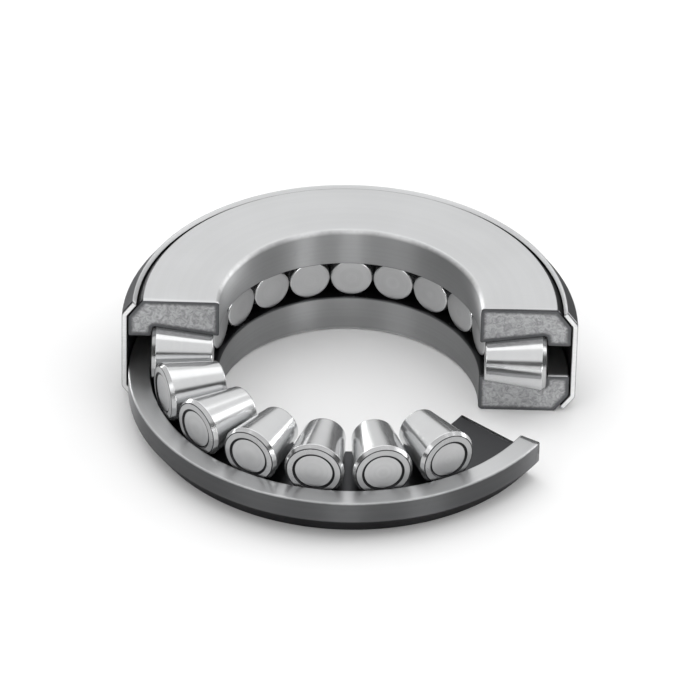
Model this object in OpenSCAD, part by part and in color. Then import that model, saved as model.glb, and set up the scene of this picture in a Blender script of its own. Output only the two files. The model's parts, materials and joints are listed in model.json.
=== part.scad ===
// Full-complement tapered roller thrust bearing, made as a sectioned display piece.
// Two ribbed races hold taper rollers whose cones all meet at one point on the bearing's
// axis, halfway up. A loose pressed band keeps the pieces together. The upper race and the
// band are cut away at the front, and a short sector of the lower race is cut out.
// Origin: on the axis, at the lower race's flat seat. +Z points up through the bore.

/* [Races] */
// Bore diameter of both races
bore_d = 52; // [44:0.5:63]
// Outside diameter of both races
race_d = 88; // [73:0.5:106]
// Height over both seat faces
overall_h = 24.4; // [20:0.2:30]
// Width of the rib at its root, from the rib's wall to the outside
rib_w = 4.8; // [4:0.1:6]
// Height of the rib above the raceway
rib_h = 2.4; // [1.2:0.1:2.8]
// Radial width of the outer seat chamfer
seat_chamfer_w = 2.8; // [2:0.1:3.4]
// Axial height of the outer seat chamfer
seat_chamfer_h = 3.9; // [3:0.1:4.6]
// Chamfer at the seat end of the bore
bore_chamfer = 0.5; // [0.3:0.1:1]
// Edge break on the rib and at the raceway's inner end
edge_break = 0.35; // [0.2:0.05:0.5]
// Fillet where the raceway meets the rib
root_fillet = 0.6; // [0.4:0.1:0.7]

/* [Rollers] */
// Rollers in the whole, uncut bearing
roller_count = 20; // [18:1:24]
// Angular play between neighbouring rollers, in degrees
roller_play = 0.3; // [0.2:0.05:0.6]
// Distance from the bore's wall to the rollers' small ends
roller_setback = 1; // [0.6:0.1:1.6]
// Corner radius at the large end
large_corner = 0.9; // [0.8:0.1:1.2]
// Corner radius at the small end
small_corner = 0.45; // [0.3:0.05:0.7]
// Diameter of the recess in the large end
recess_d = 8.1; // [6:0.1:8.6]
// Depth of the recess in the large end
recess_depth = 0.3; // [0.1:0.05:0.5]
// Gap between a roller and each raceway
race_clearance = 0.06; // [0.03:0.01:0.1]
// Gap between a roller's large end and the ribs
rib_clearance = 0.1; // [0.05:0.01:0.15]

/* [Retaining band] */
// Sheet thickness
band_t = 1; // [0.7:0.05:1.2]
// Gap between the band and the races
band_gap = 0.35; // [0.25:0.05:0.5]
// Share of the seat chamfer that each lip covers
lip_share = 0.7; // [0.5:0.05:0.75]
// Inside radius of each bend
bend_r = 0.5; // [0.3:0.1:0.8]

/* [Cutaway] */
// Angle kept of the upper race and the band, from the +X section face
upper_keep = 180; // [150:1:200]
// Rollers left in the open front
front_rollers = 6; // [3:1:6]
// Angle added between the -X section's roller and the first front roller
front_gap = 3; // [1:0.1:4]
// Angle added between front rollers, which lie spread out
front_spread = 1.94; // [0.2:0.02:2]
// Angle of bare raceway between the last front roller and the lower race's cut end
bare_end = 20.1; // [2:0.1:22]

/* [Hidden] */
$fn = 180;
arc_steps = 6;

bore_r = bore_d / 2;
race_r = race_d / 2;
mid_z = overall_h / 2;

// The rollers' cones meet at the apex, on the axis at mid_z.
pitch = 360 / roller_count;
cone = pitch / 2 - roller_play / 2;
small_s = bore_r + roller_setback;
rib_foot = [race_r - rib_w, raceway_z(race_r - rib_w)];
end_r = norm([rib_foot.x, mid_z - rib_foot.y]) - rib_clearance;

// Angle that the seat chamfer and the band's lips lean in
lean = atan(seat_chamfer_w / seat_chamfer_h);

back_rollers = floor(180 / pitch + 0.001) + 1;
back_angles = [for (i = [0 : back_rollers - 1]) i * pitch];
front_angles = [for (i = [0 : front_rollers - 1])
    180 + pitch + front_gap + i * (pitch + front_spread)];
roller_angles = concat(back_angles, front_angles);
lower_keep = front_angles[front_rollers - 1] + pitch / 2 + bare_end;
roller_names = [for (i = [1 : len(roller_angles)]) str("roller_", i < 10 ? "0" : "", i)];

// Height of the lower raceway at a radius
function raceway_z(r) = mid_z - r * tan(cone) - race_clearance / cos(cone);

// Points on an arc about a centre, from one angle to another
function arc(centre, r, from, to) = [for (i = [0 : arc_steps])
    let (a = from + (to - from) * i / arc_steps) centre + r * [cos(a), sin(a)]];

// Section of the lower race, radius across and height up
module race_section() {
    along = [-cos(cone), sin(cone)];
    wall = [sin(cone), cos(cone)];
    rib_top = rib_foot + rib_h / cos(cone) * wall;
    polygon(concat(
        [
            [bore_r + bore_chamfer, 0],
            [race_r - seat_chamfer_w, 0],
            [race_r, seat_chamfer_h],
            [race_r, rib_top.y - edge_break],
            [race_r - edge_break, rib_top.y],
            rib_top + [edge_break, 0],
            rib_top - edge_break * wall,
        ],
        arc(rib_foot + root_fillet * (along + wall), root_fillet, -cone, -90 - cone),
        [
            [bore_r + edge_break, raceway_z(bore_r + edge_break)],
            [bore_r, raceway_z(bore_r) - edge_break],
            [bore_r, bore_chamfer],
        ]
    ));
}

// Section of a roller: distance from its own axis across, distance from the apex up
module roller_section() {
    small_centre = [
        (small_s + small_corner) * tan(cone) - small_corner / cos(cone),
        small_s + small_corner,
    ];
    // The large corner touches the cone and the end's sphere about the apex.
    centre_s = end_r - large_corner;
    turn = cone - asin(large_corner / centre_s);
    large_centre = centre_s * [sin(turn), cos(turn)];
    recess_turn = asin(recess_d / 2 / end_r);
    floor_s = end_r * cos(recess_turn) - recess_depth;
    polygon(concat(
        [[0, small_s]],
        arc(small_centre, small_corner, -90, -cone),
        arc(large_centre, large_corner, -cone, 90 - turn),
        arc([0, 0], end_r, 90 - turn, 90 - recess_turn),
        [[recess_d / 2 - recess_depth, floor_s], [0, floor_s]]
    ));
}

// Section of the band: its upper half, outside first, then the same points mirrored
module band_section() {
    inner_r = race_r + band_gap;
    along = [-sin(lean), cos(lean)];
    out = [cos(lean), sin(lean)];
    corner = [inner_r, overall_h - seat_chamfer_h + band_gap * tan(lean / 2)];
    // Both arcs of the bend share one centre.
    centre = corner - bend_r * [1, tan(lean / 2)];
    lip_end = corner + lip_share * norm([seat_chamfer_w, seat_chamfer_h]) * along;
    half = concat(
        arc(centre, bend_r + band_t, 0, lean),
        [lip_end + band_t * out, lip_end],
        arc(centre, bend_r, lean, 0)
    );
    polygon(concat(half, [for (i = [len(half) - 1 : -1 : 0]) [half[i].x, overall_h - half[i].y]]));
}

module lower_race() {
    color("silver") rotate_extrude(angle = lower_keep, start = 0) race_section();
}

module upper_race() {
    color("gainsboro") rotate_extrude(angle = upper_keep, start = 0)
        translate([0, overall_h]) mirror([0, 1]) race_section();
}

module retaining_band() {
    color("lightgrey") rotate_extrude(angle = upper_keep, start = 0) band_section();
}

// A roller lies along its own radius, with its axis through the apex.
module roller(angle) {
    color("whitesmoke") rotate([0, 0, angle]) translate([0, 0, mid_z]) rotate([0, 90, 0])
        rotate_extrude() roller_section();
}

lower_race();
upper_race();
retaining_band();
for (i = [0 : len(roller_angles) - 1])
    roller(roller_angles[i]);
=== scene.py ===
"""Visual model of a sectioned tapered roller thrust bearing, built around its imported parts."""

import json
import math

import bmesh
import bpy
import numpy as np
from bpy.props import FloatProperty, FloatVectorProperty, PointerProperty
from mathutils import Matrix, Vector
from mathutils.geometry import delaunay_2d_cdt


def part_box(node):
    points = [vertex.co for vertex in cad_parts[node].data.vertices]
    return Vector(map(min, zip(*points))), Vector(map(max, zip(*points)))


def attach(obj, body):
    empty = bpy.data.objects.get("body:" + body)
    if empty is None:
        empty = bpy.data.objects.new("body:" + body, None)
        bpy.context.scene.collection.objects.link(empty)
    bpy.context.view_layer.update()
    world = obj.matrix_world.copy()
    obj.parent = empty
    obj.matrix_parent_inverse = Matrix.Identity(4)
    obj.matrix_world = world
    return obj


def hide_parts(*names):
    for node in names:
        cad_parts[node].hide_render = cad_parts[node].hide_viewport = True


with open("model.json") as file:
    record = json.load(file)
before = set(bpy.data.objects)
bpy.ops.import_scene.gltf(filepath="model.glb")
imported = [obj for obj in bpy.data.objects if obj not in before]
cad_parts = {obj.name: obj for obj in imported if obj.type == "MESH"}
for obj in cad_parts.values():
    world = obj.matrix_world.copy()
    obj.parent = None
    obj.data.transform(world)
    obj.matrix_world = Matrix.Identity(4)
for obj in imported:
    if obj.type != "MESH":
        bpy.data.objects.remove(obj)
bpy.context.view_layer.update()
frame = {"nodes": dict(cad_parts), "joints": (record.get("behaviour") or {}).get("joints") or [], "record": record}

bl_info = {
    "name": "Tapered Roller Thrust Bearing",
    "version": (1, 0, 0),
    "blender": (4, 5, 0),
    "location": "3D View > Sidebar > Bearing",
    "description": "Builds the races, rollers and band of a sectioned thrust bearing, with its studio",
    "category": "Add Mesh",
}

MOUNTS = {m["name"]: m for m in frame["record"]["mounts"]}
JOINTS = {j["name"]: j for j in frame["joints"]}
ROLLERS = sorted(n for n in frame["nodes"] if n.startswith("roller_"))
LAST_AXIS = JOINTS[f"{ROLLERS[-1]}_spin"]["axis"]
LOWER_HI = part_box("lower_race")[1]
UPPER_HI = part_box("upper_race")[1]
BAND_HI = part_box("retaining_band")[1]
MM = 0.001

# Past the last roller, the lower race keeps half a roller pitch and then some bare raceway, in degrees.
HALF_PITCH = 9.0
BARE_END = 20.1
LOWER_END = math.degrees(math.atan2(LAST_AXIS[1], LAST_AXIS[0])) % 360 + HALF_PITCH + BARE_END

# A side of a section counts as level when its rise over its run is under the first slope, and as part
# of a roller's end, chamfer included, when it is under the second.
LEVEL_SLOPE = 0.35
END_SLOPE = 2.5

# Turn between neighbouring sections of a ring, distance within which points are merged, and turns of
# the flat map in a metre.
RING_STEP = math.radians(1.5)
DOUBLES = 0.002 * MM
LAY_SCALE = 20


def length(label, tip, value, low=0.0, high=0.2):
    """A property for a size in metres."""
    options = dict(min=low, max=high, subtype="DISTANCE", unit="LENGTH", precision=5)
    return FloatProperty(name=label, description=tip, default=value, **options)


def turn(label, tip, degrees):
    """A property for an angle, given here in degrees."""
    options = dict(subtype="ANGLE", unit="ROTATION")
    return FloatProperty(name=label, description=tip, default=math.radians(degrees), **options)


def tint(label, tip, value):
    """A property for a colour."""
    options = dict(size=3, min=0.0, max=1.0, subtype="COLOR")
    return FloatVectorProperty(name=label, description=tip, default=value, **options)


def share(label, tip, value):
    """A property for a share between none and all."""
    return FloatProperty(name=label, description=tip, default=value, min=0.0, max=1.0, subtype="FACTOR")


def power(label, tip, value):
    """A property for a light's power in watts."""
    return FloatProperty(name=label, description=tip, default=value, unit="POWER")


# ---------------------------------------------------------------- sizes and colours


class BearingRaceSizes(bpy.types.PropertyGroup):
    """Sizes of the two races and of the cuts that show their sections."""

    bore_radius: length("Bore radius", "Radius of both bores", MOUNTS["lower_bore"]["dims"]["r_mm"] * MM)
    outer_radius: length("Outer radius", "Outside radius of both races", UPPER_HI.x)
    height: length("Height", "Height over both seat faces", UPPER_HI.z)
    rib_width: length("Rib width", "Radial width of the rib at its root", 4.8 * MM)
    rib_top: length("Rib top", "Height of the lower rib's top above the seat", LOWER_HI.z)
    chamfer_width: length("Chamfer width", "Radial width of the outer seat chamfer", 2.8 * MM)
    chamfer_height: length("Chamfer height", "Axial height of the outer seat chamfer", 3.9 * MM)
    bore_round: length("Bore corner", "Radius at the seat end of the bore", 0.9 * MM)
    edge_round: length("Edge radius", "Radius of the other outer edges", 0.35 * MM)
    root_fillet: length("Root fillet", "Fillet between raceway and rib", 0.6 * MM)
    upper_keep: turn("Upper race kept", "Angle kept of the upper race and the band", 180.0)
    lower_keep: turn("Lower race kept", "Angle kept of the lower race", LOWER_END)
    case_depth: length("Case depth", "Depth of the hardened case that shows on a cut face", 0.8 * MM)


class BearingRollerSizes(bpy.types.PropertyGroup):
    """Sizes of the tapered rollers."""

    cone: turn("Cone half-angle", "Half-angle of a roller's cone", 8.85)
    small_end: length("Small end", "Distance of the small end from the axis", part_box("roller_01")[0].x)
    end_sphere: length("End sphere", "Radius of the large end's sphere about the apex", 39.57 * MM)
    chamfer: length("Large chamfer", "Width of the chamfer at the large end", 0.72 * MM)
    small_round: length("Small corner", "Corner radius at the small end", 0.45 * MM)
    recess_radius: length("Recess radius", "Radius of the recess in the large end", 4.05 * MM)
    recess_depth: length("Recess depth", "Depth of the recess in the large end", 0.22 * MM)
    clearance: length("Raceway clearance", "Gap between a roller and each raceway", 0.06 * MM)


class BearingBandSizes(bpy.types.PropertyGroup):
    """Sizes of the pressed retaining band."""

    thickness: length("Sheet thickness", "Thickness of the band's sheet", 1.0 * MM)
    gap: length("Gap", "Gap between the band and the races", BAND_HI.x - UPPER_HI.x - 1.0 * MM)
    lip_share: share("Lip share", "Share of the seat chamfer that each lip covers", 0.7)
    bend: length("Bend radius", "Inside radius of each bend", 0.5 * MM)
    edge: length("Sheared edge", "Radius of the sheet's sheared edges", 0.14 * MM)


class BearingFinish(bpy.types.PropertyGroup):
    """Colours and surface finish of the bearing's steel."""

    ground: tint("Ground steel", "Colour of ground seats, bores and ribs", (0.57, 0.575, 0.58))
    # Near black: the outer wall's low tone mixes mostly this colour, partly turned and hardened finish, partly
    # painted shade.
    hardened: tint("Hardened steel", "Colour of turned and hardened surfaces", (0.062, 0.063, 0.066))
    roller: tint("Roller steel", "Colour of the finely ground rollers", (0.64, 0.645, 0.65))
    faced: tint("Faced steel", "Colour of the rollers' faced ends", (0.54, 0.543, 0.547))
    sheet: tint("Sheet steel", "Colour of the pressed band", (0.7, 0.705, 0.71))
    scale: tint("Mill scale", "Colour of the dark skin on the pressed band", (0.1, 0.101, 0.104))
    case: tint("Case", "Colour of the hardened case on a cut face", (0.085, 0.087, 0.092))
    core: tint("Core", "Colour of the tough core on a cut face", (0.37, 0.374, 0.38))
    # Near black: oil residue in grooves, and painted shade in inward corners, on the outer seat chamfer, the rib's
    # inner wall, the raceway and the rollers' dark lines.
    grime_and_shade: tint("Residue and shade", "Colour of oil residue in grooves", (0.009, 0.009, 0.01))


class BearingStudio(bpy.types.PropertyGroup):
    """Camera, lights and floor."""

    azimuth: turn("Azimuth", "Camera's turn round the bearing", -0.21)
    elevation: turn("Elevation", "Camera's height above the horizon", 35.775)
    roll: turn("Roll", "Camera's roll about its own axis", 1.336)
    distance: length("Distance", "Camera's distance from the bearing", 1.4237, 0.1, 10.0)
    frame_width: length("Frame width", "Width seen at the bearing's centre", 0.1395)
    aim_right: FloatProperty(name="Aim right", description="Aim point right of the apex", default=0.17 * MM)
    aim_up: FloatProperty(name="Aim up", description="Aim point above the apex", default=1.21 * MM)
    key: power("Top light", "Power of the light overhead", 1.3)
    fill: power("Front light", "Power of the light in front", 0.9)
    floor: tint("Floor", "Colour of the plain floor", (0.95, 0.95, 0.95))


# ---------------------------------------------------------------- profiles and surfaces


def unit(v):
    """Each vector divided by its own length."""
    return v / np.linalg.norm(v, axis=-1, keepdims=True)


def rounded(corners, radii, finishes, closed=True, steps=7, shoulder=0.1 * MM):
    """Outline with an arc at each corner.

    An arc touches both edges, so its centre lies on the corner's bisector at radius over the sine of
    half the corner's angle, and its ends lie at radius over the tangent of that half angle. A point on
    the arc is the spherical blend of the two end directions. A shoulder point stands just outside
    each arc, so that the flat beside it shades flat. Each side has a finish, its tone and roughness,
    which blends over the arcs. An edge is rubbed bright, as wear and painted highlight, only between
    two bright sides, and every inward corner is darkened, as residue and painted shade. Returns the
    points, edge wear and painted highlight, residue and painted shade, and finish.
    """
    wear_and_glint_gain = 1.5
    p, r, tone = (np.asarray(a, float) for a in (corners, radii, finishes))
    before, after = (np.roll(p, 1, 0), np.roll(p, -1, 0)) if closed else (p[:-2], p[2:])
    tone_in, tone_out = (np.roll(tone, 1, 0), tone) if closed else (tone[:-1], tone[1:])
    if not closed:
        first, last, p, r = p[:1], p[-1:], p[1:-1], r[1:-1]
    to_before, to_after = unit(before - p), unit(after - p)
    half = np.arccos(np.clip((to_before * to_after).sum(1), -1, 1)) / 2
    centre = p + unit(to_before + to_after) * (r / np.sin(half))[:, None]
    reach = (r / np.tan(half))[:, None]
    start, end = p + to_before * reach, p + to_after * reach
    sweep = (np.pi - 2 * half)[:, None, None]
    t = np.linspace(0, 1, steps)[None, :, None]
    arc = centre[:, None] + (
        np.sin((1 - t) * sweep) * (start - centre)[:, None] + np.sin(t * sweep) * (end - centre)[:, None]
    ) / np.sin(sweep)
    outer = [(start + to_before * shoulder)[:, None], (end + to_after * shoulder)[:, None]]
    pts = np.concatenate([outer[0], arc, outer[1]], 1)
    u = np.concatenate([[0], np.linspace(0, 1, steps), [1]])
    turn_left = np.cross(-to_before, to_after) > 0
    bump = np.sin(np.pi * u)[None]
    # Outward edges between bright sides are rubbed bright, wear and painted highlight; every inward corner is
    # darkened, residue and painted shade.
    rubbed_and_glint = np.clip(wear_and_glint_gain * np.minimum(tone_in[:, 0], tone_out[:, 0]), 0, 1) * turn_left
    wear_and_glint, residue_and_shade = bump * rubbed_and_glint[:, None], bump * ~turn_left[:, None]
    blend = tone_in[:, None] * (1 - u)[:, None] + tone_out[:, None] * u[:, None]
    pts, wear_and_glint, residue_and_shade, blend = pts.reshape(-1, 2), wear_and_glint.ravel(), residue_and_shade.ravel(), blend.reshape(-1, 2)
    if not closed:
        pts = np.concatenate([first, pts, last])
        wear_and_glint, residue_and_shade = np.pad(wear_and_glint, 1), np.pad(residue_and_shade, 1)
        blend = np.concatenate([tone[:1], blend, tone[-1:]])
    return pts, wear_and_glint, residue_and_shade, blend


def edge_distance(points, outline):
    """Distance from each point to the nearest side of a closed outline: each point is dropped on each
    side's line, held between the side's ends, and the shortest drop is kept."""
    a, side = outline[None], np.roll(outline, -1, 0)[None] - outline[None]
    rel = points[:, None] - a
    along = np.clip((rel * side).sum(-1) / (side**2).sum(-1), 0, 1)
    return np.linalg.norm(rel - along[..., None] * side, axis=-1).min(1)


def inside(points, outline):
    """Whether each point is inside: a ray to the right crosses the outline an odd number of times."""
    x, y = points[:, :1], points[:, 1:]
    ax, ay = outline.T
    bx, by = np.roll(outline, -1, 0).T
    meets = (ay > y) != (by > y)
    with np.errstate(divide="ignore", invalid="ignore"):
        at = ax + (y - ay) * (bx - ax) / (by - ay)
    return (meets & (x < at)).sum(1) % 2 == 1


def section_face(outline, pitch=0.3 * MM):
    """Flat triangles over a closed outline, with a triangular grid of points inside it.

    Neighbouring rows of the grid are a pitch times the sine of 60 degrees apart. Grid points stay a
    margin away from the outline. Returns the points, the triangles and each point's depth."""
    sine, margin, touching = 0.866, 0.45, 1e-7
    lo, hi = outline.min(0), outline.max(0)
    row = np.arange(lo[1], hi[1], pitch * sine)
    col = np.arange(lo[0], hi[0], pitch)
    x = col[None] + (np.arange(len(row)) % 2)[:, None] * pitch / 2
    grid = np.stack([x, np.broadcast_to(row[:, None], x.shape)], -1).reshape(-1, 2)
    grid = grid[inside(grid, outline)]
    grid = grid[edge_distance(grid, outline) > pitch * margin]
    n = len(outline)
    sides = np.stack([np.arange(n), np.roll(np.arange(n), -1)], 1)
    flat = np.concatenate([outline, grid]) / MM
    made = delaunay_2d_cdt([Vector(p) for p in flat], sides.tolist(), [], 1, 1e-6)
    points = np.array([tuple(v) for v in made[0]]) * MM
    depth = edge_distance(points, outline)
    depth[depth < touching] = 0.0
    return points, np.array(made[2]), depth


def quads(outline, angles, closed_rows, closed_outline):
    """Faces between neighbouring turns of an outline, and where their corners lie on a flat map.

    On the map, across is the length walked along the outline and up is the turn's arc at the
    outline's mean radius, so the map's first direction always runs along the outline."""
    rows, columns = len(angles), len(outline)
    j = np.arange(rows if closed_rows else rows - 1)[:, None]
    k = np.arange(columns if closed_outline else columns - 1)[None]
    j2, k2 = (j + 1) % rows, (k + 1) % columns
    faces = np.stack([j * columns + k, j * columns + k2, j2 * columns + k2, j2 * columns + k], -1)
    step = np.linalg.norm(np.roll(outline, -1, 0) - outline, axis=1)
    walked = np.concatenate([[0], np.cumsum(step)])
    arc = (angles[1] - angles[0]) * outline[:, 0].mean()
    across = np.stack([walked[k], walked[k + 1], walked[k + 1], walked[k]], -1) + 0 * j[..., None]
    up = np.stack([j, j, j + 1, j + 1], -1) * arc + 0 * k[..., None]
    return faces.reshape(-1, 4), np.stack([across, up], -1).reshape(-1, 2)


def make_piece(name, points, faces, layout, smooth, slots, tags, materials):
    """One mesh object from arrays: doubles merged, normals outward, tags kept as attributes."""
    mesh = bpy.data.meshes.new(name)
    mesh.from_pydata(points.tolist(), [], faces)
    mesh.uv_layers.new(name="lay").data.foreach_set("uv", layout.astype(np.float32).ravel() * LAY_SCALE)
    for label, values in tags.items():
        vector = values.ndim == 2
        layer = mesh.attributes.new(label, "FLOAT_VECTOR" if vector else "FLOAT", "POINT")
        layer.data.foreach_set("vector" if vector else "value", values.astype(np.float32).ravel())
    mesh.polygons.foreach_set("use_smooth", smooth)
    mesh.polygons.foreach_set("material_index", slots)
    work = bmesh.new()
    work.from_mesh(mesh)
    bmesh.ops.remove_doubles(work, verts=work.verts, dist=DOUBLES)
    bmesh.ops.recalc_face_normals(work, faces=work.faces)
    work.to_mesh(mesh)
    work.free()
    for material in materials:
        mesh.materials.append(material)
    piece = bpy.data.objects.new(name, mesh)
    bpy.context.scene.collection.objects.link(piece)
    return piece


def as_vectors(finish):
    """Tone and roughness as vectors, with nothing in the third place."""
    return np.pad(finish, ((0, 0), (0, 1)))


def part_ring(name, shape, span, seed, materials):
    """Part of a ring: a section carried round the bearing's axis from angle 0 to span, and closed by
    a flat section face at each end. A point at radius r and height z goes to r cos a, r sin a, z."""
    outline, wear_and_glint, residue_and_shade, finish = shape
    a = np.linspace(0, span, int(round(span / RING_STEP)) + 1)
    r, z = outline[None, :, 0], outline[None, :, 1]
    wall = np.stack([r * np.cos(a)[:, None], r * np.sin(a)[:, None], z + 0 * a[:, None]], -1).reshape(-1, 3)
    face, triangles, depth = section_face(outline)
    ends = [
        np.stack([face[:, 0] * np.cos(e), face[:, 0] * np.sin(e), face[:, 1]], -1) for e in (a[0], a[-1])
    ]
    points = np.concatenate([wall, *ends])
    first = len(wall)
    walls, layout = quads(outline, a, False, True)
    faces = walls.tolist() + (triangles + first).tolist() + (triangles + first + len(face)).tolist()
    flat = face[triangles.ravel()]
    layout = np.concatenate([layout, flat, flat])
    cut = np.arange(len(faces)) >= len(walls)
    # Level sides, such as the seat, take the third material and the section faces the second.
    run = np.roll(outline, -1, 0) - outline
    level = np.abs(run[:, 1]) < LEVEL_SLOPE * np.abs(run[:, 0])
    slots = np.concatenate([2 * np.tile(level, len(a) - 1), np.ones(len(faces) - len(walls), int)])
    lines = np.concatenate([np.tile(outline, (len(a), 1)), face, face])
    none = np.zeros((2 * len(face), 3))
    tags = {
        "wear_and_glint": np.concatenate([np.tile(wear_and_glint, len(a)), none[:, 0]]),
        "residue_and_shade": np.concatenate([np.tile(residue_and_shade, len(a)), none[:, 0]]),
        "finish": np.concatenate([np.tile(as_vectors(finish), (len(a), 1)), none]),
        "depth": np.concatenate([np.zeros(first), depth, depth]),
        "turned": np.column_stack([lines, np.full(len(points), seed)]),
    }
    return make_piece(name, points, faces, layout, ~cut, slots, tags, materials)


def turned_body(name, shape, angle, apex, seed, materials, sides=144):
    """A solid turned about its own axis, which leaves the apex level at an angle.

    A point at radius q and distance s goes to s along the axis, q cos b across and q sin b up."""
    outline, wear_and_glint, residue_and_shade, finish = shape
    turns = np.linspace(0, 2 * np.pi, sides, endpoint=False)
    b = turns[:, None]
    q, s = outline[None, :, 0], outline[None, :, 1]
    across, up, along = q * np.cos(b), q * np.sin(b), s + 0 * b
    c, d = math.cos(angle), math.sin(angle)
    points = np.stack([along * c - across * d, along * d + across * c, up + apex], -1).reshape(-1, 3)
    grid, layout = quads(outline, turns, True, False)
    # The flat ends and the chamfer take the second material.
    run = np.diff(outline, axis=0)
    end = np.tile(np.abs(run[:, 1]) < END_SLOPE * np.abs(run[:, 0]), sides).astype(int)
    tags = {
        "wear_and_glint": np.tile(wear_and_glint, sides),
        "residue_and_shade": np.tile(residue_and_shade, sides),
        "finish": np.tile(as_vectors(finish), (sides, 1)),
        "turned": np.column_stack([np.tile(outline, (sides, 1)), np.full(len(points), seed)]),
    }
    return make_piece(name, points, grid.tolist(), layout, np.ones(len(grid), bool), end, tags, materials)


def raceway_height(races, rollers, radius):
    """Height of the lower raceway: the middle height, less radius times the cone's tangent, less the
    clearance measured square to the cone."""
    return races.height / 2 - radius * math.tan(rollers.cone) - rollers.clearance / math.cos(rollers.cone)


def race_shape(races, rollers, flip):
    """Section of a race, and its mirror image about the bearing's middle if flip is true.

    Tones run from -1, full of residue colour, through 0, turned and hardened, to 1, bright ground.
    Negative tones are residue and painted shade, and the outer wall's low tone is partly painted shade."""
    rib_r = races.outer_radius - races.rib_width
    foot = raceway_height(races, rollers, rib_r)
    rib_top_r = rib_r + (races.rib_top - foot) * math.tan(rollers.cone)
    sides = [
        # radius, height, corner radius, then tone and roughness of the side that follows
        (races.bore_radius, 0.0, races.bore_round, 1.0, 0.42),
        # The outer seat chamfer's tone of -0.92 paints it near black: painted shade.
        (races.outer_radius - races.chamfer_width, 0.0, races.edge_round, -0.92, 0.5),
        # The outer wall's tone of 0.22 makes it dark turned steel, darkened partly as painted shade.
        (races.outer_radius, races.chamfer_height, races.edge_round, 0.22, 0.5),
        (races.outer_radius, races.rib_top, races.edge_round, 0.95, 0.36),
        # The rib's inner wall, tone -0.8, and the raceway, tone -0.35, are darkened with the residue colour:
        # painted shade.
        (rib_top_r, races.rib_top, races.edge_round, -0.8, 0.4),
        (rib_r, foot, races.root_fillet, -0.35, 0.3),
        (races.bore_radius, raceway_height(races, rollers, races.bore_radius), races.edge_round, 0.62, 0.55),
    ]
    r, z, corner, *finish = np.array(sides).T
    points, wear_and_glint, residue_and_shade, finish = rounded(np.column_stack([r, z]), corner, np.column_stack(finish))
    if flip:
        points = points * (1, -1) + (0, races.height)
    return points, wear_and_glint, residue_and_shade, finish


def roller_shape(rollers):
    """Half section of a roller from its small end's centre to its large end's centre: flat end, cone,
    chamfer, a land on the sphere about the apex, a recess with a groove at its foot."""
    rise = math.tan(rollers.cone)
    sphere, small = rollers.end_sphere, rollers.small_end
    land = sphere * math.sin(rollers.cone) - rollers.chamfer * 0.85
    body_end = sphere * math.cos(rollers.cone) - rollers.chamfer
    rim = math.sqrt(sphere**2 - rollers.recess_radius**2)
    wall, floor = rollers.recess_depth, rim - rollers.recess_depth
    # A fine line at the chamfer's foot and the recess's groove and wall take the residue colour: oil residue and
    # painted shade.
    residue_and_shade_line = 0.2 * MM
    fine = 0.06 * MM
    groove = 0.16 * MM
    sides = [
        # radius, distance from the apex, corner radius, then tone and roughness of the side that follows
        (0.0, small, 0.0, 0.9, 0.36),
        (small * rise, small, rollers.small_round, 1.0, 0.18),
        (body_end * rise, body_end, 0.16 * MM, 0.85, 0.2),
        (land, math.sqrt(sphere**2 - land**2), fine, -0.7, 0.35),
        (land - residue_and_shade_line, math.sqrt(sphere**2 - (land - residue_and_shade_line) ** 2), fine, 0.7, 0.3),
        (rollers.recess_radius + groove, rim, fine, -0.7, 0.4),
        (rollers.recess_radius - wall * 0.6, floor - fine, 0.05 * MM, -0.7, 0.4),
        (rollers.recess_radius - wall * 1.6, floor, 0.04 * MM, 0.9, 0.36),
        (0.0, floor + 0.03 * MM, 0.0, 0.9, 0.36),
    ]
    q, s, corner, *finish = np.array(sides).T
    finishes = np.column_stack(finish)[:-1]
    return rounded(np.column_stack([q, s]), corner, finishes, closed=False, shoulder=0.04 * MM)


def band_shape(band, races):
    """Section of the band: a straight wall with a lip bent in at each end, along the seat chamfers."""
    lean = math.atan2(races.chamfer_width, races.chamfer_height)
    inner = races.outer_radius + band.gap
    lip = band.lip_share * math.hypot(races.chamfer_width, races.chamfer_height)
    along, out = np.array([-math.sin(lean), math.cos(lean)]), np.array([math.cos(lean), math.sin(lean)])
    bend_in = np.array([inner, races.height - races.chamfer_height + band.gap * math.tan(lean / 2)])
    bend_out = bend_in + band.thickness * np.array([1, math.tan(lean / 2)])
    lip_in = bend_in + lip * along
    upper = np.array([bend_out, lip_in + band.thickness * out, lip_in, bend_in])
    lower = upper[::-1] * (1, -1) + (0, races.height)
    radii = [band.bend + band.thickness, band.edge, band.edge, band.bend]
    # Outside of the lip, its sheared edge, its inside and the wall's inside, then the same mirrored
    tones = [0.05, 1.0, 0.2, 0.2, 0.2, 1.0, 0.05, 0.1]
    roughness = 0.5
    finishes = np.column_stack([tones, np.full(len(tones), roughness)])
    return rounded(np.concatenate([upper, lower]), radii + radii[::-1], finishes, shoulder=0.08 * MM)


# ---------------------------------------------------------------- finishes


def group(name, inputs, outputs):
    """An empty shader node group with a number at every socket, and its two end nodes."""
    tree = bpy.data.node_groups.new(name, "ShaderNodeTree")
    for label, value in inputs.items():
        socket = tree.interface.new_socket(name=label, in_out="INPUT", socket_type="NodeSocketFloat")
        socket.default_value = value
    for label in outputs:
        tree.interface.new_socket(name=label, in_out="OUTPUT", socket_type="NodeSocketFloat")
    return tree, tree.nodes.new("NodeGroupInput"), tree.nodes.new("NodeGroupOutput")


def node(tree, kind, links=(), **settings):
    """Adds a node, sets its options, and links or sets its inputs."""
    made = tree.nodes.new(kind)
    for k, v in settings.items():
        setattr(made, k, v)
    for socket, value in dict(links).items():
        if isinstance(value, bpy.types.NodeSocket):
            tree.links.new(value, made.inputs[socket])
        else:
            made.inputs[socket].default_value = value
    return made


def calc(tree, operation, a, b=0.0):
    """One Math node, and its result."""
    return node(tree, "ShaderNodeMath", {0: a, 1: b}, operation=operation).outputs[0]


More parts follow.
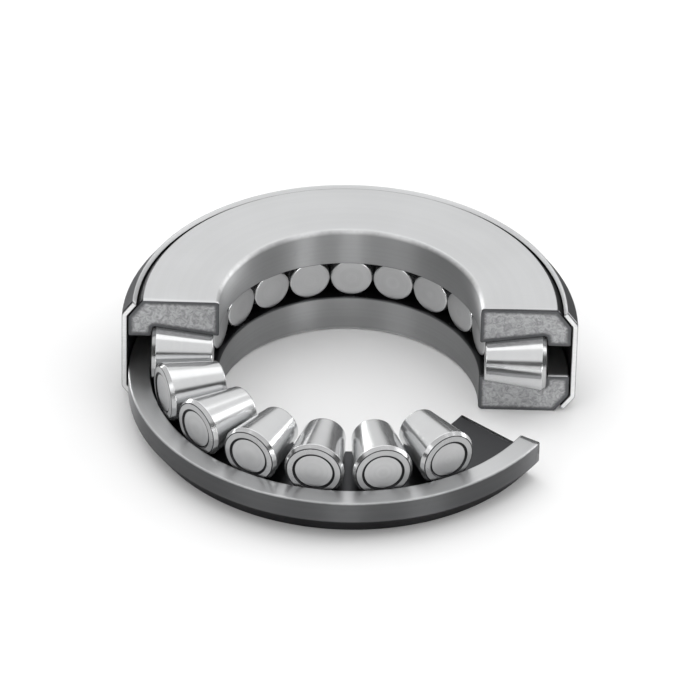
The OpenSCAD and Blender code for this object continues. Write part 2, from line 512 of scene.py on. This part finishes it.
def ramp(tree, value, low, high, to_low=0.0, to_high=1.0):
    """A value carried smoothly from one range to another, and held at its ends."""
    links = {"Value": value, "From Min": low, "From Max": high, "To Min": to_low, "To Max": to_high}
    return node(tree, "ShaderNodeMapRange", links, interpolation_type="SMOOTHSTEP").outputs[0]


def mix(tree, share_of, a, b, blend_type="MIX"):
    """One colour Mix node, and its result."""
    links = {0: share_of, 6: a, 7: b}
    return node(tree, "ShaderNodeMix", links, data_type="RGBA", blend_type=blend_type).outputs[2]


def noise(tree, vector, scale, detail=2.0, rough=0.5):
    """One Noise node, and its value."""
    links = {"Vector": vector, "Scale": scale, "Detail": detail, "Roughness": rough}
    return node(tree, "ShaderNodeTexNoise", links).outputs[0]


def grinding_lines():
    """Group: fine rings left by grinding, from the turned attribute. Each surface is ruled by its
    radius and its height or distance, so the rings run true round the axis."""
    tree, start, end = group("grinding lines", {"Spacing": 9000.0, "Strength": 0.5}, ("Rings", "Height"))
    turned = node(tree, "ShaderNodeAttribute", attribute_name="turned").outputs["Vector"]
    fine = noise(tree, turned, start.outputs["Spacing"], 3.0, 0.6)
    broad = noise(tree, turned, calc(tree, "MULTIPLY", start.outputs["Spacing"], 0.17), 1.0)
    rings = calc(tree, "ADD", calc(tree, "MULTIPLY", fine, 0.6), calc(tree, "MULTIPLY", broad, 0.4))
    tree.links.new(ramp(tree, rings, 0.35, 0.65), end.inputs["Rings"])
    tree.links.new(calc(tree, "MULTIPLY", rings, start.outputs["Strength"]), end.inputs["Height"])
    return tree


def handling():
    """Group: soft cloudiness from wiping and faint smears, and sparse fine scratches."""
    tree, start, end = group("handling", {"Size": 90.0}, ("Cloud", "Scratches"))
    place = node(tree, "ShaderNodeTexCoord").outputs["Object"]
    cloud = noise(tree, place, start.outputs["Size"], 4.0, 0.55)
    tree.links.new(ramp(tree, cloud, 0.3, 0.7), end.inputs["Cloud"])
    lie = {"Vector": place, "Rotation": (0.4, 0.2, 0.7), "Scale": (1.0, 14.0, 6.0)}
    bent = node(tree, "ShaderNodeMapping", lie)
    thin = noise(tree, bent.outputs[0], 130.0, 2.0, 0.6)
    tree.links.new(ramp(tree, thin, 0.66, 0.72), end.inputs["Scratches"])
    return tree


def wear_glint_and_shade():
    """Group: where an edge is rubbed bright, as wear and painted highlight, and where a groove is darkened, as
    residue and painted shade, each broken up.
    """
    tree, _, end = group("worn edges", {}, ("Bright", "Residue and shade"))
    place = node(tree, "ShaderNodeTexCoord").outputs["Object"]
    broken = ramp(tree, noise(tree, place, 700.0, 3.0), 0.3, 0.62, 0.45, 1.0)
    wear_and_glint = node(tree, "ShaderNodeAttribute", attribute_name="wear_and_glint").outputs["Fac"]
    held = node(tree, "ShaderNodeAttribute", attribute_name="residue_and_shade").outputs["Fac"]
    tree.links.new(calc(tree, "MULTIPLY", wear_and_glint, broken), end.inputs["Bright"])
    tree.links.new(calc(tree, "MULTIPLY", held, broken), end.inputs["Residue and shade"])
    return tree


GROUPS = {}


def shared(maker):
    """A node group that is built once and then used again."""
    if maker.__name__ not in GROUPS:
        GROUPS[maker.__name__] = maker()
    return GROUPS[maker.__name__]


def use(tree, maker, **values):
    """Places a shared group in a material, with this material's own values."""
    made = node(tree, "ShaderNodeGroup")
    made.node_tree = shared(maker)
    for label, value in values.items():
        made.inputs[label].default_value = value
    return made


def blank(name):
    """A new material, its tree and its shader."""
    material = bpy.data.materials.new(name)
    material.use_nodes = True
    tree = material.node_tree
    shader = tree.nodes["Principled BSDF"]
    shader.inputs["Metallic"].default_value = 1.0
    return material, tree, shader


def colour(value):
    """A colour property as four numbers."""
    return (*value, 1.0)


def tinted(tree, level):
    """A grey whose brightness is the given level."""
    return node(tree, "ShaderNodeCombineColor", {i: level for i in range(3)}).outputs[0]


def shaded(tree, base, level):
    """A colour multiplied by the given level."""
    return mix(tree, 1.0, base, tinted(tree, level), "MULTIPLY")


def steel(name, finish, bright, dark, rings, height, brushed, marked=1.0):
    """Bare steel: dark where hardened, bright where ground, with rings, cloudiness, scratches, edges rubbed
    bright as wear and painted highlight, and grooves and negative tones darkened as residue and painted
    shade. Brushed steel stretches its highlights across the grinding, and the share called marked says
    how strongly rings and cloudiness show in its colour."""
    # Pale grey on outward edges is wear and painted highlight; the residue colour is residue and painted shade.
    rubbed_and_glint, wear_and_glint_share, residue_and_shade_share = (0.92, 0.92, 0.92), 0.35, 0.95
    faintest = 1 - 0.07 * marked
    material, tree, shader = blank(name)
    kind = node(tree, "ShaderNodeAttribute", attribute_name="finish").outputs["Vector"]
    tone, rough = node(tree, "ShaderNodeSeparateXYZ", {0: kind}).outputs[:2]
    shader.inputs["Metallic"].default_value = 0.9
    lines = use(tree, grinding_lines, Spacing=rings, Strength=height)
    marks = use(tree, handling)
    edges = use(tree, wear_glint_and_shade)
    base = mix(tree, ramp(tree, tone, 0.0, 1.0), colour(dark), colour(bright))
    for mark in (lines.outputs["Rings"], marks.outputs["Cloud"]):
        base = shaded(tree, base, ramp(tree, mark, 0.0, 1.0, faintest, 1.0))
    # Painted highlight with wear: outward edges mix towards pale grey.
    worn_and_glint = calc(tree, "MULTIPLY", edges.outputs["Bright"], wear_and_glint_share)
    base = mix(tree, worn_and_glint, base, colour(rubbed_and_glint))
    # Painted shade with residue: inward corners and negative tones mix towards near black.
    held = calc(tree, "MAXIMUM", edges.outputs["Residue and shade"], ramp(tree, tone, 0.0, -1.0))
    base = mix(tree, calc(tree, "MULTIPLY", held, residue_and_shade_share), base, colour(finish.grime_and_shade))
    tree.links.new(base, shader.inputs["Base Color"])
    spread = calc(tree, "ADD", rough, ramp(tree, marks.outputs["Cloud"], 0.0, 1.0, -0.03, 0.03))
    spread = calc(tree, "ADD", spread, calc(tree, "MULTIPLY", marks.outputs["Scratches"], 0.06))
    tree.links.new(spread, shader.inputs["Roughness"])
    if brushed:
        shader.inputs["Anisotropic"].default_value = brushed
        lay = node(tree, "ShaderNodeTangent", direction_type="UV_MAP", uv_map="lay")
        tree.links.new(lay.outputs[0], shader.inputs["Tangent"])
    sunk = calc(tree, "MULTIPLY", marks.outputs["Scratches"], 0.3)
    relief = calc(tree, "SUBTRACT", lines.outputs["Height"], sunk)
    bump = node(tree, "ShaderNodeBump", {"Height": relief, "Strength": 0.12, "Distance": 0.01 * MM})
    tree.links.new(bump.outputs[0], shader.inputs["Normal"])
    return material


def cut_steel(name, finish, case_depth):
    """A sawn and etched face: a dark hardened case along the outline, and a mottled granular core."""
    material, tree, shader = blank(name)
    place = node(tree, "ShaderNodeTexCoord").outputs["Object"]
    depth = node(tree, "ShaderNodeAttribute", attribute_name="depth").outputs["Fac"]
    ragged = noise(tree, place, 1300.0, 3.0, 0.6)
    limit = ramp(tree, ragged, 0.3, 0.7, case_depth * 0.95, case_depth * 1.3)
    core = ramp(tree, calc(tree, "DIVIDE", depth, limit), 0.5, 1.4)
    grains = {"Vector": place, "Scale": 820.0, "Detail": 3.0, "Roughness": 0.55, "Distortion": 1.6}
    swirl = calc(tree, "MULTIPLY", node(tree, "ShaderNodeTexNoise", grains).outputs[0], 0.8)
    fine = calc(tree, "MULTIPLY", noise(tree, place, 2600.0, 2.0), 0.2)
    mottle = calc(tree, "ADD", swirl, fine)
    mottled = shaded(tree, colour(finish.core), ramp(tree, mottle, 0.3, 0.7, 0.66, 1.3))
    case = shaded(tree, colour(finish.case), ramp(tree, depth, 0.0, 0.3 * MM, 0.55, 1.0))
    tree.links.new(mix(tree, core, case, mottled), shader.inputs["Base Color"])
    tree.links.new(ramp(tree, core, 0.0, 1.0, 0.55, 0.7), shader.inputs["Roughness"])
    shader.inputs["Metallic"].default_value = 0.2
    etched = calc(tree, "MULTIPLY", mottle, core)
    bump = node(tree, "ShaderNodeBump", {"Height": etched, "Strength": 0.35, "Distance": 0.04 * MM})
    tree.links.new(bump.outputs[0], shader.inputs["Normal"])
    return material


def sheared_steel(name, finish):
    """The band's cut edge: bright freshly cut sheet between two dark burrs, with faint drag lines."""
    material, tree, shader = blank(name)
    place = node(tree, "ShaderNodeTexCoord").outputs["Object"]
    drag = node(tree, "ShaderNodeMapping", {"Vector": place, "Scale": (1.0, 1.0, 3.0)})
    lines = noise(tree, drag.outputs[0], 900.0, 3.0)
    tone = ramp(tree, lines, 0.3, 0.7, 0.8, 0.9)
    bright = mix(tree, 0.3, tinted(tree, tone), colour(finish.sheet))
    depth = node(tree, "ShaderNodeAttribute", attribute_name="depth").outputs["Fac"]
    burr = ramp(tree, depth, 0.0, 0.22 * MM, 0.25, 1.0)
    tree.links.new(shaded(tree, bright, burr), shader.inputs["Base Color"])
    tree.links.new(ramp(tree, lines, 0.3, 0.7, 0.35, 0.5), shader.inputs["Roughness"])
    shader.inputs["Metallic"].default_value = 0.4
    return material


def floor_finish(value):
    """Plain matt floor with the faintest unevenness."""
    material, tree, shader = blank("floor_matt")
    shader.inputs["Metallic"].default_value = 0.0
    shader.inputs["Specular IOR Level"].default_value = 0.0
    place = node(tree, "ShaderNodeTexCoord").outputs["Object"]
    cloud = ramp(tree, noise(tree, place, 9.0, 2.0), 0.3, 0.7, 0.99, 1.0)
    tree.links.new(shaded(tree, colour(value), cloud), shader.inputs["Base Color"])
    shader.inputs["Roughness"].default_value = 0.9
    return material


# ---------------------------------------------------------------- operators


class BEARING_OT_races(bpy.types.Operator):
    """Build the lower and the upper race, each with its two section faces"""

    bl_idname = "bearing.races"
    bl_label = "Races"

    def execute(self, context):
        s = context.scene
        races, rollers, finish = s.bearing_races, s.bearing_rollers, s.bearing_finish
        bare = (finish, finish.ground, finish.hardened)
        ground = steel("race_ground_steel", *bare, rings=9000.0, height=0.4, brushed=0.95)
        seat = steel("race_seat_steel", *bare, rings=9000.0, height=0.08, brushed=0.2, marked=0.35)
        section = cut_steel("race_section", finish, races.case_depth)
        for name, span, flip, seed in (
            ("lower_race", races.lower_keep, False, 0.11),
            ("upper_race", races.upper_keep, True, 0.37),
        ):
            shape = race_shape(races, rollers, flip)
            piece = part_ring(f"{name}_ground", shape, span, seed, [ground, section, seat])
            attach(piece, name)
            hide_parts(name)
        return {"FINISHED"}


class BEARING_OT_rollers(bpy.types.Operator):
    """Build every tapered roller on its own axis"""

    bl_idname = "bearing.rollers"
    bl_label = "Rollers"

    def execute(self, context):
        s = context.scene
        finish, dark = s.bearing_finish, s.bearing_finish.hardened
        grinding = dict(rings=9000.0, height=0.05, brushed=0.2, marked=0.3)
        ground = steel("roller_ground_steel", finish, finish.roller, dark, **grinding)
        faced = steel("roller_end_steel", finish, finish.faced, dark, rings=6000.0, height=0.3, brushed=0.0)
        shape = roller_shape(s.bearing_rollers)
        apex = s.bearing_races.height / 2
        for number, name in enumerate(ROLLERS):
            axis = JOINTS[f"{name}_spin"]["axis"]
            angle = math.atan2(axis[1], axis[0])
            seed = 0.05 + 0.013 * number
            piece = turned_body(f"{name}_ground", shape, angle, apex, seed, [ground, faced])
            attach(piece, name)
            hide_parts(name)
        return {"FINISHED"}


class BEARING_OT_band(bpy.types.Operator):
    """Build the pressed retaining band with its two bent lips"""

    bl_idname = "bearing.band"
    bl_label = "Retaining band"

    def execute(self, context):
        s = context.scene
        races, finish = s.bearing_races, s.bearing_finish
        pressing = dict(rings=5000.0, height=0.4, brushed=0.6)
        sheet = steel("band_sheet_steel", finish, finish.sheet, finish.scale, **pressing)
        # At a grazing angle, mill scale mirrors less than bare steel does.
        shader = sheet.node_tree.nodes["Principled BSDF"]
        shader.inputs["Specular Tint"].default_value = colour((0.3, 0.3, 0.3))
        cut = sheared_steel("band_cut_edge", finish)
        shape = band_shape(s.bearing_band, races)
        skins = [sheet, cut, sheet]
        piece = part_ring("retaining_band_pressed", shape, races.upper_keep, 0.73, skins)
        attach(piece, "retaining_band")
        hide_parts("retaining_band")
        return {"FINISHED"}


def area_light(name, place, aim, size, power):
    """A rectangular light at a place, facing the point it aims at."""
    data = bpy.data.lights.new(name, "AREA")
    data.shape, data.size, data.size_y, data.energy = "RECTANGLE", *size, power
    lamp = bpy.data.objects.new(name, data)
    lamp.location = place
    lamp.rotation_euler = (Vector(aim) - Vector(place)).to_track_quat("-Z", "Y").to_euler()
    bpy.context.scene.collection.objects.link(lamp)


# Lamps: name, place and size in metres, the setting that gives the power, and the share of it taken.
LAMPS = (
    ("overhead", (0.0, 0.25, 0.75), (0.9, 0.7), "key", 1.0),
    ("front_left", (-0.55, -0.6, 0.45), (0.35, 0.5), "fill", 1.0),
    ("right_strip", (0.6, 0.1, 0.3), (0.12, 0.5), "fill", 0.4),
)

# Upright cards round the bearing: where each stands, turned from the front towards +X, half its
# width, both in degrees, and its brightness.
CARDS = ((0, 30, 0.8), (0, 6, 12.0), (38, 7, 11.0), (114, 16, 10.0), (-145, 18, 10.0))
WALL_LEVEL = 0.03
# The cards stand low, so that the level seats don't mirror them from behind. Each fades away between
# these two heights, given as the sine of the height's angle above the horizon.
CARD_FULL = 0.12
CARD_GONE = 0.3


def studio_room(cards):
    """The room round the bearing: white overhead, coming down lower behind the bearing than in front
    of it, and a dim wall below with low upright cards of light. The turn from the front is the
    arctangent of x over minus y."""
    world = bpy.data.worlds.new("studio")
    world.use_nodes = True
    tree = world.node_tree
    way = node(tree, "ShaderNodeSeparateXYZ", {0: node(tree, "ShaderNodeTexCoord").outputs["Generated"]})
    x, y, z = way.outputs
    turned = calc(tree, "ARCTAN2", x, calc(tree, "MULTIPLY", y, -1.0))
    wall = WALL_LEVEL
    for at, half, level in cards:
        away = calc(tree, "ABSOLUTE", calc(tree, "SUBTRACT", turned, math.radians(at)))
        edge = math.radians(half)
        card = ramp(tree, away, edge * 1.35, edge * 0.65, 0.0, level)
        wall = calc(tree, "MAXIMUM", card, wall)
    low = ramp(tree, z, CARD_GONE, CARD_FULL)
    wall = calc(tree, "MAXIMUM", calc(tree, "MULTIPLY", wall, low), WALL_LEVEL)
    top = ramp(tree, y, -0.35, 0.35, 0.46, 0.2)
    height = ramp(tree, calc(tree, "SUBTRACT", z, top), 0.0, 0.12)
    sky = node(tree, "ShaderNodeMix", {0: height, 2: wall, 3: 1.0}).outputs[0]
    # The camera itself sees plain near-white.
    seen = node(tree, "ShaderNodeLightPath").outputs["Is Camera Ray"]
    sky = node(tree, "ShaderNodeMix", {0: seen, 2: sky, 3: 0.95}).outputs[0]
    back = tree.nodes["Background"]
    tree.links.new(tinted(tree, sky), back.inputs["Color"])
    back.inputs["Strength"].default_value = 1.0
    return world


class BEARING_OT_studio(bpy.types.Operator):
    """Lay the floor and set up the camera and the lights"""

    bl_idname = "bearing.studio"
    bl_label = "Studio"

    def execute(self, context):
        s = context.scene
        studio = s.bearing_studio
        half = 3.0
        corners = np.array([[-half, -half, 0], [half, -half, 0], [half, half, 0], [-half, half, 0]])
        mesh = bpy.data.meshes.new("floor")
        mesh.from_pydata(corners.tolist(), [], [[0, 1, 2, 3]])
        mesh.materials.append(floor_finish(studio.floor))
        floor = bpy.data.objects.new("floor", mesh)
        floor.location.z = -0.02 * MM
        s.collection.objects.link(floor)

        apex = (0.0, 0.0, s.bearing_races.height / 2)
        for name, place, size, setting, part in LAMPS:
            area_light(name, place, apex, size, getattr(studio, setting) * part)

        s.world = studio_room(CARDS)

        a, e, r = studio.azimuth, studio.elevation, studio.roll
        ahead = Vector((math.sin(a) * math.cos(e), math.cos(a) * math.cos(e), -math.sin(e)))
        level = Vector((math.cos(a), -math.sin(a), 0.0))
        above = level.cross(ahead)
        right = level * math.cos(r) + above * math.sin(r)
        up_axis = above * math.cos(r) - level * math.sin(r)
        data = bpy.data.cameras.new("camera")
        data.sensor_width = 36.0
        data.lens = data.sensor_width * studio.distance / studio.frame_width
        data.clip_start, data.clip_end = 0.05, 20.0
        camera = bpy.data.objects.new("camera", data)
        turned = Matrix((right, up_axis, -ahead)).transposed()
        aim = Vector(apex) + right * studio.aim_right + up_axis * studio.aim_up
        camera.matrix_world = Matrix.Translation(aim - ahead * studio.distance) @ turned.to_4x4()
        s.collection.objects.link(camera)
        s.camera = camera
        s.view_settings.view_transform = "Standard"
        return {"FINISHED"}


class BEARING_PT_panel(bpy.types.Panel):
    """Lists the bearing's pieces and its studio"""

    bl_idname = "BEARING_PT_panel"
    bl_label = "Thrust bearing"
    bl_space_type = "VIEW_3D"
    bl_region_type = "UI"
    bl_category = "Bearing"

    def draw(self, context):
        for step in STEPS:
            self.layout.operator(step.bl_idname)
        for label in SETTINGS:
            box = self.layout.box()
            settings = getattr(context.scene, label)
            for item in settings.bl_rna.properties:
                if item.identifier not in ("rna_type", "name"):
                    box.prop(settings, item.identifier)


SETTINGS = {
    "bearing_races": BearingRaceSizes,
    "bearing_rollers": BearingRollerSizes,
    "bearing_band": BearingBandSizes,
    "bearing_finish": BearingFinish,
    "bearing_studio": BearingStudio,
}
STEPS = (BEARING_OT_races, BEARING_OT_rollers, BEARING_OT_band, BEARING_OT_studio)


def register():
    """Registers the classes and puts the settings on the scene."""
    for c in (*SETTINGS.values(), *STEPS, BEARING_PT_panel):
        bpy.utils.register_class(c)
    for label, c in SETTINGS.items():
        setattr(bpy.types.Scene, label, PointerProperty(type=c))


def unregister():
    """Takes the settings and the classes away again."""
    for label in SETTINGS:
        delattr(bpy.types.Scene, label)
    for c in reversed((*SETTINGS.values(), *STEPS, BEARING_PT_panel)):
        bpy.utils.unregister_class(c)


def main():
    register()
    for step in STEPS:
        area, verb = step.bl_idname.split(".")
        getattr(getattr(bpy.ops, area), verb)()
    bpy.context.view_layer.update()


if __name__ == "__main__":
    main()
